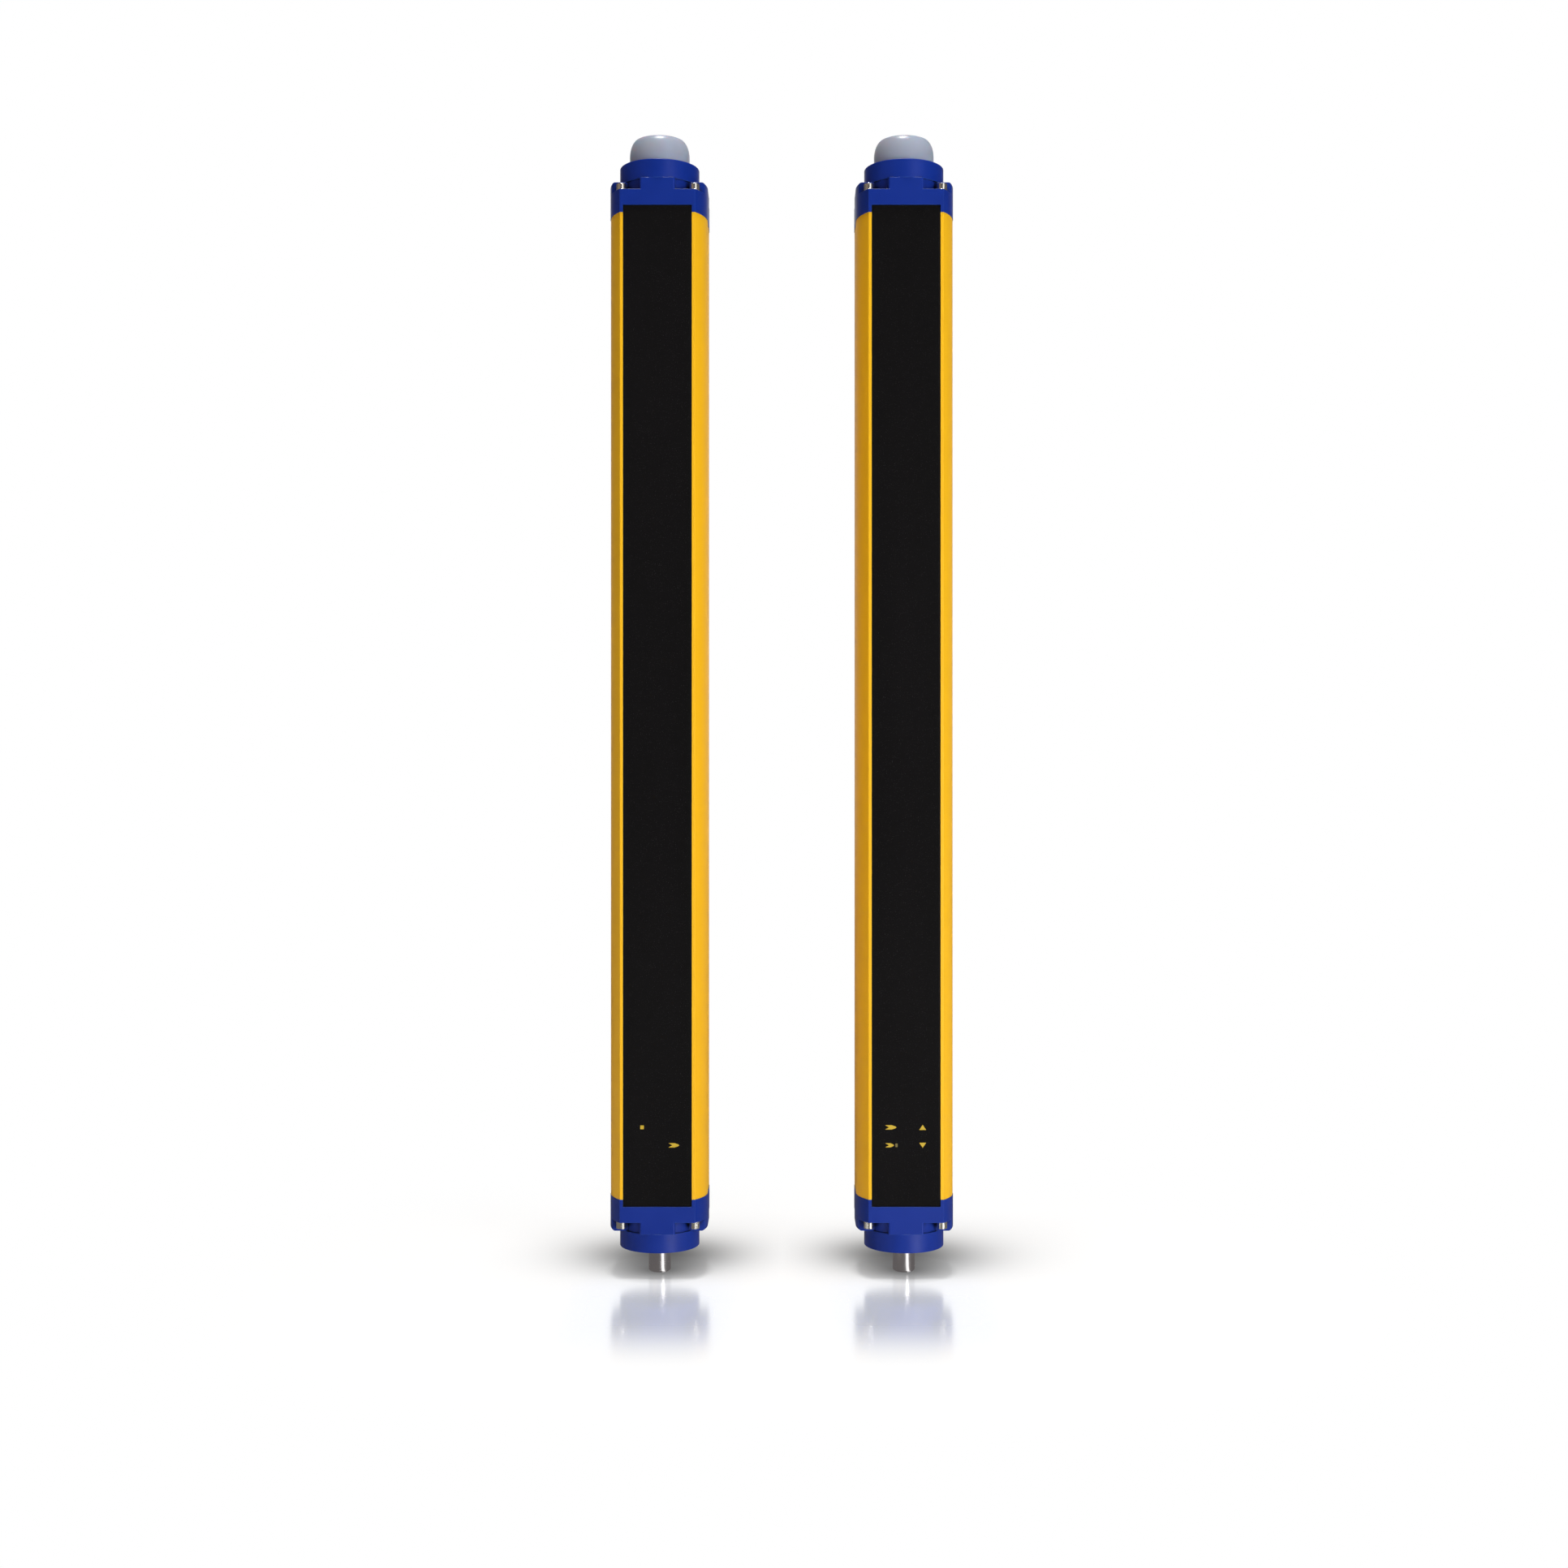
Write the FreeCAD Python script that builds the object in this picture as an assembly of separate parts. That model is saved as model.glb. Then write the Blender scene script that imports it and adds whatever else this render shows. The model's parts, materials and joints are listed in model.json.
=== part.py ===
import FreeCAD, Part
import math
import os

# A safety light curtain: two upright columns, an emitter and a receiver.  Millimetres, +Z up,
# fronts towards -Y.  The origin is midway between the columns, level with the ends of the plugs.

# ---- driving dimensions: the pair and its extruded profile -------------------------------------
COLUMN_SPACING = 132.0      # between the axes of the two columns
PROFILE_LENGTH = 524.0
PROFILE_WIDTH = 52.0
PROFILE_DEPTH = 42.0
FLANK_WIDTH = 6.1           # from the front crease out to the widest point
FLANK_DEPTH = 15.7          # from the front back to the widest point
FLANK_BULGE = 1.2           # how far the flank's arc stands off its chord
REAR_CORNER_R = 4.0
WALL = 1.9                  # of the extrusion
PORT_WALL = 1.65            # round each screw port

# ---- front window -------------------------------------------------------------------------------
FRONT_LIP = 1.8             # from the front crease in to the window's edge
WINDOW_THICKNESS = 2.0
WINDOW_RECESS = 0.3         # behind the front face
WINDOW_OVERRUN = 3.65       # past each end of the profile, into the cap
WINDOW_CORNER_R = 0.8
WINDOW_GAP = 0.2            # round the window's edge
SEAL_THICKNESS = 0.4
SEAL_WIDTH = 2.0
LEDGE_WIDTH = 2.4           # the shelf that the window is stuck to
LEDGE_THICKNESS = 2.0

# ---- T-slots: one in the back, one in each side ---------------------------------------------------
REAR_SLOT_MOUTH = 8.2
REAR_SLOT_LIP = 2.4
REAR_SLOT_WIDTH = 15.4
REAR_SLOT_DEPTH = 5.0
SIDE_SLOT_MOUTH = 5.4
SIDE_SLOT_LIP = 1.8
SIDE_SLOT_WIDTH = 9.4
SIDE_SLOT_DEPTH = 4.6
SIDE_SLOT_SETBACK = 16.5    # from the back face to the middle of the side slot

# ---- cap screws: hexagon socket heads, M3 x 20 ----------------------------------------------------
SCREW_INSET_X = 6.5         # from the profile's widest point
SCREW_INSET_Y = 5.6         # from its front and back faces
SCREW_D = 3.0
SCREW_LENGTH = 20.0         # below its washer
SCREW_HEAD_D = 5.5
SCREW_HEAD_HEIGHT = 3.0
SCREW_WASHER_D = 5.6        # captive lock washer under the head
SCREW_WASHER_HEIGHT = 1.0
SCREW_SOCKET = 2.5          # across flats
SCREW_SOCKET_DEPTH = 1.6
SCREW_PORT_CLEARANCE = 0.05
SCREW_HOLE_CLEARANCE = 0.2

# ---- moulded end caps -----------------------------------------------------------------------------
CAP_PROUD = 0.2             # past the profile all round
CAP_BASE_HEIGHT = 12.25     # from the profile to the floor of the corner notches
CAP_TIER_HEIGHT = 6.2       # depth of the corner notches
SPIGOT_HEIGHT = 10.0        # round end that a bracket clamps
SPIGOT_HEAD_GAP = 0.65      # from the spigot to the screws' washers
SPIGOT_EDGE_R = 0.5
NECK_STEP = 0.9             # the neck under the spigot is this much smaller
BLOCK_WIDTH = 18.8          # of the flat blocks left between the notches
BLOCK_EDGE_R = 1.0
WING_EDGE_R = 1.6
NOTCH_HEAD_GAP = 0.35       # behind the screws' washers
CAP_FLOOR = 2.25            # thickness above the pocket
GASKET_THICKNESS = 1.0
GASKET_INSET = 1.0          # from the profile's outline
GASKET_LAND = 1.3           # how far the gasket reaches inside the slots' walls
GASKET_CORNER_R = 2.0
SLOT_COVER = 0.5            # how far the cap's solid ends reach past the slots they close

# ---- lamp on the upper cap --------------------------------------------------------------------------
DOME_D = 32.3
DOME_WALL = 1.6
DOME_STRAIGHT = 6.3         # height of the straight wall above the spigot
DOME_SHOULDER_WIDTH = 4.2
DOME_SHOULDER_HEIGHT = 9.0
DOME_SHOULDER_END = 85.0    # degrees round the shoulder where the crown takes over
DOME_CLEARANCE = 0.15
DOME_SEAT_DEPTH = 3.0
DOME_SEAL_THICKNESS = 0.8
LAMP_SEAT_DEPTH = 3.0       # from the dome's seat down to the lamp board's
LAMP_BOARD_D = 26.4
LAMP_BOARD_THICKNESS = 1.2
LAMP_BOARD_CLEARANCE = 0.3
LAMP_SHELF = 2.0            # that the board rests on
LAMP_LED_SIZE = 3.2
LAMP_LED_HEIGHT = 1.8
LAMP_LED_CIRCLE_D = 16.0
LAMP_LED_COUNT = 6
LAMP_LEAD_D = 1.6

# ---- plug on the lower cap: M12, male -----------------------------------------------------------------
PLUG_D = 12.0
PLUG_LENGTH = 14.0          # below the spigot
PLUG_BORE_D = 9.4
PLUG_BEVEL = 0.8
PLUG_SHANK_D = 12.8         # where it passes through the cap
PLUG_RELIEF = 0.4           # groove at the foot of the thread
PLUG_RELIEF_DEPTH = 0.5
PLUG_SOCKET_DEPTH = 10.0
PLUG_FLANGE_D = 17.6
PLUG_FLANGE_THICKNESS = 2.0
PLUG_CLEARANCE = 0.1
PLUG_SEAL_THICKNESS = 1.0
PLUG_SEAL_D = 16.0
PLUG_WALL = 3.5             # of the cap, that the plug passes through
PLUG_COLLAR = 0.5           # step that holds the insert
PLUG_COLLAR_HEIGHT = 1.5
PLUG_NUT_HEIGHT = 4.0
PLUG_NUT_BORE_D = 8.0
PLUG_NUT_NOTCH = 2.0
PLUG_TAIL = 6.0             # of the insert, behind the flange
PLUG_KEY_WIDTH = 1.2
PLUG_KEY_HEIGHT = 0.7
PIN_LENGTH = 8.0
PIN_FIT = 0.02
EMITTER_PIN_COUNT = 5
EMITTER_PIN_D = 1.0
RECEIVER_PIN_COUNT = 8
RECEIVER_PIN_D = 0.8
PIN_CIRCLE_D = 5.5
PLUG_LEAD_D = 4.6
PLUG_LEAD_RUN = 7.0         # straight run at each end of the plug's lead

# ---- optics -----------------------------------------------------------------------------------------------
END_SPACE = 2.0             # from the ends of the profile to the carrier and its board
INNER_GAP = 0.1             # round the carrier, which slides in from the end
BOARD_THICKNESS = 1.6
BOARD_PLAY = 0.2
CARRIER_INSET = 6.5         # from the profile's widest point
BEAM_PITCH = 40.0
BEAM_MARGIN = 22.0          # from the ends of the profile to the outer beams
LENS_D = 13.0
LENS_THICKNESS = 3.2
LENS_EDGE = 1.2
LENS_SEAT_DEPTH = 3.6
LENS_LAND = 0.9             # that the lens rests on
LENS_GAP = 0.1
CARRIER_WALL = 1.6          # between the apertures, where the moulding is hollowed from behind
APERTURE_WALL = 3.0         # left round each lens seat
DIODE_D = 5.0
DIODE_HEIGHT = 4.6
DIODE_BEVEL = 1.2
DIODE_GAP = 0.2
DIODE_HOLE_DEPTH = 5.2
PHOTODIODE_SIZE = 3.4
PHOTODIODE_HEIGHT = 1.4

# ---- indicator lights behind the window ----------------------------------------------------------------
PIPE_D = 3.0
PIPE_HEAD_D = 4.0
PIPE_HEAD_HEIGHT = 1.0
PIPE_GAP = 0.05
INDICATOR_WIDTH = 2.0
INDICATOR_LENGTH = 1.2
INDICATOR_HEIGHT = 1.0
UPPER_INDICATOR = 42.3      # above the window's lower end
LOWER_INDICATOR = 32.9
INDICATOR_OFFSET = 8.4      # from the column's middle

# ---- control board -----------------------------------------------------------------------------------------
CONTROL_WIDTH = 30.0
CONTROL_LENGTH = 90.0
CONTROL_MARGIN = 34.0       # from the lower end of the profile
SPACER_D = 5.0
SPACER_LENGTH = 6.0
SPACER_INSET = 4.0
HEADER_WIDTH = 20.0
HEADER_THICKNESS = 2.5
HEADER_MARGIN = 12.0        # from the control board's upper end
CHIP_HEIGHT = 2.0
PROCESSOR_SIZE = 12.0
DRIVER_LENGTH = 8.0
DRIVER_WIDTH = 5.0
DRIVER_SPACING = 10.0
DRIVER_MARGIN = 22.0        # from the control board's lower end

# ---- places worked out from the above, about one column's own axis --------------------------------------
OVERCUT = 1.0               # how far cutting tools run past a face
ORIGIN = FreeCAD.Vector(0, 0, 0)
X_AXIS = FreeCAD.Vector(1, 0, 0)
Y_AXIS = FreeCAD.Vector(0, 1, 0)
Z_AXIS = FreeCAD.Vector(0, 0, 1)

half_width = PROFILE_WIDTH / 2
front_y = -PROFILE_DEPTH / 2
rear_y = PROFILE_DEPTH / 2
flank_y = front_y + FLANK_DEPTH
crease_x = half_width - FLANK_WIDTH
cap_height = CAP_BASE_HEIGHT + CAP_TIER_HEIGHT + SPIGOT_HEIGHT
profile_bottom = PLUG_LENGTH + cap_height
profile_top = profile_bottom + PROFILE_LENGTH

window_back_y = front_y + WINDOW_RECESS + WINDOW_THICKNESS
ledge_y = window_back_y + SEAL_THICKNESS
window_half = crease_x - FRONT_LIP
rebate_half = window_half + WINDOW_GAP
opening_half = rebate_half - LEDGE_WIDTH
window_bottom = profile_bottom - WINDOW_OVERRUN

screw_x = half_width - SCREW_INSET_X
screw_y = PROFILE_DEPTH / 2 - SCREW_INSET_Y
screw_r = SCREW_D / 2
head_r = SCREW_HEAD_D / 2
washer_r = SCREW_WASHER_D / 2
port_r = screw_r + SCREW_PORT_CLEARANCE
boss_r = port_r + PORT_WALL
spigot_r = math.hypot(screw_x, screw_y) - washer_r - SPIGOT_HEAD_GAP
neck_r = spigot_r - NECK_STEP
notch_y = screw_y - washer_r - NOTCH_HEAD_GAP
tier_top = CAP_BASE_HEIGHT + CAP_TIER_HEIGHT
pocket_top = CAP_BASE_HEIGHT - CAP_FLOOR

rear_slot_floor_y = rear_y - REAR_SLOT_LIP - REAR_SLOT_DEPTH
side_slot_y = rear_y - SIDE_SLOT_SETBACK
side_slot_floor_x = half_width - SIDE_SLOT_LIP - SIDE_SLOT_DEPTH
side_wall_x = side_slot_floor_x - WALL
side_wall_y = side_slot_y - SIDE_SLOT_WIDTH / 2 - WALL
pocket_half = side_wall_x - GASKET_LAND
pocket_rear_y = rear_slot_floor_y - WALL - GASKET_LAND
pocket_front_y = ledge_y + LEDGE_THICKNESS + WALL / 2

dome_foot = cap_height - DOME_SEAT_DEPTH + DOME_SEAL_THICKNESS
dome_r = DOME_D / 2
lamp_shelf_z = cap_height - DOME_SEAT_DEPTH - LAMP_SEAT_DEPTH
lamp_bore_r = LAMP_BOARD_D / 2 + LAMP_BOARD_CLEARANCE

plug_r = PLUG_D / 2
shank_r = PLUG_SHANK_D / 2
plug_bore_r = PLUG_BORE_D / 2
plug_wall_z = cap_height - PLUG_WALL
flange_outer_z = plug_wall_z - PLUG_SEAL_THICKNESS
flange_inner_z = flange_outer_z - PLUG_FLANGE_THICKNESS
nut_inner_z = flange_inner_z - PLUG_NUT_HEIGHT
plug_tail_z = flange_inner_z - PLUG_TAIL
plug_end_z = cap_height + PLUG_LENGTH
plug_seat_r = PLUG_FLANGE_D / 2 + PLUG_CLEARANCE

carrier_half = half_width - CARRIER_INSET
board_back_y = side_wall_y - BOARD_PLAY
board_front_y = board_back_y - BOARD_THICKNESS
board_bottom = profile_bottom + END_SPACE
board_top = profile_top - END_SPACE
carrier_front_y = ledge_y + INNER_GAP
shoulder_y = boss_r - screw_y + INNER_GAP
lens_seat_y = carrier_front_y + LENS_SEAT_DEPTH
lens_seat_r = LENS_D / 2 + LENS_GAP
diode_hole_r = DIODE_D / 2 + DIODE_GAP
beam_count = int((PROFILE_LENGTH - 2 * BEAM_MARGIN) / BEAM_PITCH) + 1
beam_heights = [profile_bottom + BEAM_MARGIN + BEAM_PITCH * i for i in range(beam_count)]

control_front_y = board_back_y + SPACER_LENGTH
control_back_y = control_front_y + BOARD_THICKNESS
control_bottom = profile_bottom + CONTROL_MARGIN
control_top = control_bottom + CONTROL_LENGTH

corners = [(sx * screw_x, sy * screw_y) for sx in (-1, 1) for sy in (-1, 1)]


# ---- small helpers -------------------------------------------------------------------------------------------
def box(x0, x1, y0, y1, z0, z1):
    return Part.makeBox(x1 - x0, y1 - y0, z1 - z0, FreeCAD.Vector(x0, y0, z0))


def rod(radius, z0, z1, x=0.0, y=0.0):
    return Part.makeCylinder(radius, z1 - z0, FreeCAD.Vector(x, y, z0), Z_AXIS)


def bar(radius, y0, y1, x, z):
    """A round bar along Y."""
    return Part.makeCylinder(radius, y1 - y0, FreeCAD.Vector(x, y0, z), Y_AXIS)


def tube(outer_r, inner_r, z0, z1):
    return rod(outer_r, z0, z1).cut(rod(inner_r, z0, z1))


def prism(wire, z0, z1):
    face = Part.Face(wire)
    face.translate(FreeCAD.Vector(0, 0, z0))
    return face.extrude(FreeCAD.Vector(0, 0, z1 - z0))


def moved(shape, x=0.0, y=0.0, z=0.0):
    copy = shape.copy()
    copy.translate(FreeCAD.Vector(x, y, z))
    return copy


def turned(shape, axis, degrees):
    copy = shape.copy()
    copy.rotate(ORIGIN, axis, degrees)
    return copy


def group(shapes):
    return Part.makeCompound(shapes)


def upright_edges(shape, x_range, y_range):
    """The edges along Z whose place is within the two ranges."""
    found = []
    for edge in shape.Edges:
        size = edge.BoundBox
        middle = size.Center
        upright = size.ZLength > 0.9 * edge.Length
        in_x = x_range[0] <= middle.x <= x_range[1]
        in_y = y_range[0] <= middle.y <= y_range[1]
        if upright and in_x and in_y:
            found.append(edge)
    return found


def rounded_block(x0, x1, y0, y1, z0, z1, radius):
    """A block with its four upright edges rounded."""
    block = box(x0, x1, y0, y1, z0, z1)
    return block.makeFillet(radius, upright_edges(block, (x0, x1), (y0, y1)))


# ---- the extruded profile ---------------------------------------------------------------------------------------
def flank(side):
    """The arc from the front crease to the widest point."""
    crease = FreeCAD.Vector(side * crease_x, front_y, 0)
    widest = FreeCAD.Vector(side * half_width, flank_y, 0)
    chord = widest - crease
    off_chord = FreeCAD.Vector(side * chord.y, -side * chord.x, 0).normalize()
    middle = (crease + widest) * 0.5 + off_chord * FLANK_BULGE
    return Part.Arc(crease, middle, widest).toShape()


def rear_corner(side):
    centre = FreeCAD.Vector(side * (half_width - REAR_CORNER_R), rear_y - REAR_CORNER_R, 0)
    start = centre + FreeCAD.Vector(side * REAR_CORNER_R, 0, 0)
    middle = centre + FreeCAD.Vector(side, 1, 0).normalize() * REAR_CORNER_R
    end = centre + FreeCAD.Vector(0, REAR_CORNER_R, 0)
    return Part.Arc(start, middle, end).toShape()


def outline(grow=0.0):
    """The outside of the section, drawn larger or smaller by an even margin."""
    flat_rear_x = half_width - REAR_CORNER_R
    side_rear_y = rear_y - REAR_CORNER_R
    straight = [
        ((-crease_x, front_y), (crease_x, front_y)),
        ((half_width, flank_y), (half_width, side_rear_y)),
        ((flat_rear_x, rear_y), (-flat_rear_x, rear_y)),
        ((-half_width, side_rear_y), (-half_width, flank_y)),
    ]
    edges = [Part.makeLine(FreeCAD.Vector(*a, 0), FreeCAD.Vector(*b, 0)) for a, b in straight]
    edges += [flank(1), flank(-1), rear_corner(1), rear_corner(-1)]
    wire = Part.Wire(Part.__sortEdges__(edges))
    if grow == 0.0:
        return wire
    return wire.makeOffset2D(grow, 2)


def t_slot(mouth, lip, width, depth, z0, z1):
    """A T-slot that opens towards +Y, with its mouth at y = 0."""
    neck = box(-mouth / 2, mouth / 2, -lip - OVERCUT, OVERCUT, z0, z1)
    head = box(-width / 2, width / 2, -lip - depth, -lip, z0, z1)
    return neck.fuse(head).removeSplitter()


def slot_tools(z0, z1):
    rear = t_slot(REAR_SLOT_MOUTH, REAR_SLOT_LIP, REAR_SLOT_WIDTH, REAR_SLOT_DEPTH, z0, z1)
    side = t_slot(SIDE_SLOT_MOUTH, SIDE_SLOT_LIP, SIDE_SLOT_WIDTH, SIDE_SLOT_DEPTH, z0, z1)
    tools = [moved(rear, y=rear_y)]
    for hand in (-1, 1):
        tools.append(moved(turned(side, Z_AXIS, -90 * hand), x=hand * half_width, y=side_slot_y))
    return tools


def chamber(z0, z1):
    """The hollow inside the profile: its walls, screw bosses and slot walls stand in it."""
    inside = prism(outline(-WALL), z0, z1)
    far = PROFILE_WIDTH
    ledge_back_y = ledge_y + LEDGE_THICKNESS
    walls = [box(-far, far, front_y - OVERCUT, ledge_back_y, z0, z1)]
    for x, y in corners:
        walls.append(rod(boss_r, z0, z1, x, y))
        x0, x1 = sorted((x, math.copysign(far, x)))
        y0, y1 = sorted((y, math.copysign(far, y)))
        walls.append(box(x0, x1, y0, y1, z0, z1))
    rear_half = REAR_SLOT_WIDTH / 2 + WALL
    walls.append(box(-rear_half, rear_half, rear_slot_floor_y - WALL, rear_y, z0, z1))
    side_half = SIDE_SLOT_WIDTH / 2 + WALL
    for hand in (-1, 1):
        x0, x1 = sorted((hand * side_wall_x, hand * far))
        walls.append(box(x0, x1, side_slot_y - side_half, side_slot_y + side_half, z0, z1))
    opening = box(-opening_half, opening_half, ledge_y - OVERCUT, ledge_back_y, z0, z1)
    return inside.cut(walls).fuse(opening)


def profile():
    z0 = profile_bottom
    z1 = profile_top
    low = z0 - OVERCUT
    high = z1 + OVERCUT
    rebate = box(-rebate_half, rebate_half, front_y - OVERCUT, ledge_y, low, high)
    ports = [rod(port_r, low, high, x, y) for x, y in corners]
    cuts = [chamber(low, high), rebate] + slot_tools(low, high) + ports
    return prism(outline(), z0, z1).cut(cuts).removeSplitter()


# ---- window and its seal --------------------------------------------------------------------------------------------
def window_plate(margin, y0, y1):
    """A plate as large as the window less a margin, with rounded corners."""
    half = window_half - margin
    z0 = window_bottom + margin
    z1 = profile_top + WINDOW_OVERRUN - margin
    plate = box(-half, half, y0, y1, z0, z1)
    edges = [e for e in plate.Edges if e.BoundBox.YLength > 0.5 * e.Length]
    return plate.makeFillet(WINDOW_CORNER_R, edges)


def window():
    return window_plate(0.0, front_y + WINDOW_RECESS, window_back_y)


def window_seal():
    frame = window_plate(0.0, window_back_y, ledge_y)
    return frame.cut(window_plate(SEAL_WIDTH, window_back_y - OVERCUT, ledge_y + OVERCUT))


# ---- end caps, drawn with the joint at z = 0 and the spigot upwards --------------------------------------------------
def place_upper(shape):
    return moved(shape, z=profile_top)


def place_lower(shape):
    return moved(turned(shape, Y_AXIS, 180), z=profile_bottom)


def cap_wings():
    """What the corner notches leave at the two sides, with the outer upper edges rounded."""
    far = PROFILE_WIDTH
    wings = prism(outline(CAP_PROUD), CAP_BASE_HEIGHT, tier_top)
    wings = wings.common(box(-far, far, -notch_y, notch_y, CAP_BASE_HEIGHT, tier_top))
    edges = []
    for edge in wings.Edges:
        size = edge.BoundBox
        at_top = size.ZMin > tier_top - 0.01
        at_side = abs(size.Center.x) > neck_r
        if at_top and at_side and size.YLength > size.XLength:
            edges.append(edge)
    return wings.makeFillet(WING_EDGE_R, edges)


def cap_body():
    """The outside of a cap and what both caps share: notches, screw holes, pocket, window end."""
    body = prism(outline(CAP_PROUD), 0, CAP_BASE_HEIGHT)
    block_y = PROFILE_DEPTH / 2 + CAP_PROUD
    half_block = BLOCK_WIDTH / 2
    blocks = rounded_block(
        -half_block, half_block, -block_y, block_y, CAP_BASE_HEIGHT, tier_top, BLOCK_EDGE_R
    )
    neck = rod(neck_r, CAP_BASE_HEIGHT, tier_top)
    spigot = rod(spigot_r, tier_top, cap_height)
    rim = [e for e in spigot.Edges if e.BoundBox.ZMin > cap_height - 0.01]
    spigot = spigot.makeFillet(SPIGOT_EDGE_R, rim)
    body = body.fuse([cap_wings(), blocks, neck, spigot]).removeSplitter()
    window_end = box(
        -rebate_half, rebate_half, front_y - 2 * OVERCUT, ledge_y, -OVERCUT, WINDOW_OVERRUN + WINDOW_GAP
    )
    hole_r = screw_r + SCREW_HOLE_CLEARANCE
    holes = [rod(hole_r, -OVERCUT, CAP_BASE_HEIGHT + OVERCUT, x, y) for x, y in corners]
    return body.cut([window_end, gasket_land(-OVERCUT, GASKET_THICKNESS), pocket()] + holes)


def pocket():
    """The hollow over the end of the profile."""
    return rounded_block(
        -pocket_half, pocket_half, pocket_front_y, pocket_rear_y, -OVERCUT, pocket_top, GASKET_CORNER_R
    )


def gasket_land(z0, z1):
    """Where the gasket lies on the profile's walls, clear of the window and the ends of the slots."""
    far = PROFILE_WIDTH
    land = prism(outline(-GASKET_INSET), z0, z1)
    clear = [box(-far, far, front_y - OVERCUT, ledge_y + WALL / 4, z0, z1)]
    rear_half = REAR_SLOT_WIDTH / 2 + SLOT_COVER
    clear.append(box(-rear_half, rear_half, rear_slot_floor_y - SLOT_COVER, far, z0, z1))
    side_half = SIDE_SLOT_WIDTH / 2 + SLOT_COVER
    for hand in (-1, 1):
        x0, x1 = sorted((hand * (side_slot_floor_x - SLOT_COVER), hand * far))
        clear.append(box(x0, x1, side_slot_y - side_half, side_slot_y + side_half, z0, z1))
    return land.cut(clear)


def gasket():
    hole_r = screw_r + SCREW_HOLE_CLEARANCE
    holes = [rod(hole_r, -OVERCUT, GASKET_THICKNESS + OVERCUT, x, y) for x, y in corners]
    return gasket_land(0, GASKET_THICKNESS).cut([pocket()] + holes)


def cap_screw():
    """A socket head screw with a captive lock washer, standing on z = 0 with its shank downwards."""
    top = SCREW_WASHER_HEIGHT + SCREW_HEAD_HEIGHT
    head = rod(head_r, 0, top)
    hexagon = Part.makePolygon(
        [
            FreeCAD.Vector(math.cos(a), math.sin(a), 0) * (SCREW_SOCKET / math.sqrt(3))
            for a in (math.radians(60 * k) for k in range(7))
        ]
    )
    socket = prism(hexagon, top - SCREW_SOCKET_DEPTH, top + OVERCUT)
    washer = rod(washer_r, 0, SCREW_WASHER_HEIGHT)
    return head.cut(socket).fuse([washer, rod(screw_r, -SCREW_LENGTH, 0)]).removeSplitter()


def cap_screws():
    screw = cap_screw()
    return group([moved(screw, x, y, CAP_BASE_HEIGHT) for x, y in corners])


# ---- lamp ---------------------------------------------------------------------------------------------------------------
def upper_cap():
    seat_z = cap_height - DOME_SEAT_DEPTH
    dome_seat = rod(dome_r + DOME_CLEARANCE, seat_z, cap_height + OVERCUT)
    lamp_seat = rod(lamp_bore_r, lamp_shelf_z, seat_z)
    through = rod(lamp_bore_r - LAMP_SHELF, pocket_top - OVERCUT, lamp_shelf_z)
    return cap_body().cut([dome_seat, lamp_seat, through])


def dome_edges(inset):
    """Wall, shoulder and crown of the dome in the XZ plane, from the foot to the axis."""
    centre_x = dome_r - DOME_SHOULDER_WIDTH
    centre_z = cap_height + DOME_STRAIGHT
    width = DOME_SHOULDER_WIDTH - inset
    height = DOME_SHOULDER_HEIGHT - inset
    end = math.radians(DOME_SHOULDER_END)
    foot = FreeCAD.Vector(dome_r - inset, 0, dome_foot)
    wall_top = FreeCAD.Vector(dome_r - inset, 0, centre_z)

    def shoulder_point(angle):
        return FreeCAD.Vector(centre_x + width * math.cos(angle), 0, centre_z + height * math.sin(angle))

    turn = math.atan2(height * math.cos(end), width * math.sin(end))
    crown_start = shoulder_point(end)
    crown_r = crown_start.x / math.sin(turn)
    crown_centre_z = crown_start.z - crown_r * math.cos(turn)
    crown_middle = FreeCAD.Vector(
        crown_r * math.sin(turn / 2), 0, crown_centre_z + crown_r * math.cos(turn / 2)
    )
    apex = FreeCAD.Vector(0, 0, crown_centre_z + crown_r)
    shoulder = Part.BSplineCurve()
    shoulder.interpolate(
        Points=[shoulder_point(end * k / 4) for k in range(5)],
        InitialTangent=Z_AXIS,
        FinalTangent=FreeCAD.Vector(-math.cos(turn), 0, math.sin(turn)),
    )
    edges = [Part.makeLine(foot, wall_top), shoulder.toShape()]
    edges.append(Part.Arc(crown_start, crown_middle, apex).toShape())
    return edges, foot, apex


def dome():
    outer, outer_foot, outer_apex = dome_edges(0.0)
    inner, inner_foot, inner_apex = dome_edges(DOME_WALL)
    joins = [Part.makeLine(outer_foot, inner_foot), Part.makeLine(outer_apex, inner_apex)]
    section = Part.Wire(Part.__sortEdges__(outer + inner + joins))
    return Part.Face(section).revolve(ORIGIN, Z_AXIS, 360)


def dome_seal():
    seat_z = cap_height - DOME_SEAT_DEPTH
    return tube(dome_r, lamp_bore_r, seat_z, seat_z + DOME_SEAL_THICKNESS)


def lamp_board():
    return rod(LAMP_BOARD_D / 2, lamp_shelf_z, lamp_shelf_z + LAMP_BOARD_THICKNESS)


def lamp_leds():
    z0 = lamp_shelf_z + LAMP_BOARD_THICKNESS
    half = LAMP_LED_SIZE / 2
    led = box(-half, half, -half, half, z0, z0 + LAMP_LED_HEIGHT)
    led = led.makeChamfer(half / 4, [e for e in led.Edges if e.BoundBox.ZMin > z0 + LAMP_LED_HEIGHT / 2])
    led = moved(led, x=LAMP_LED_CIRCLE_D / 2)
    return group([turned(led, Z_AXIS, 360 / LAMP_LED_COUNT * k) for k in range(LAMP_LED_COUNT)])


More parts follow.
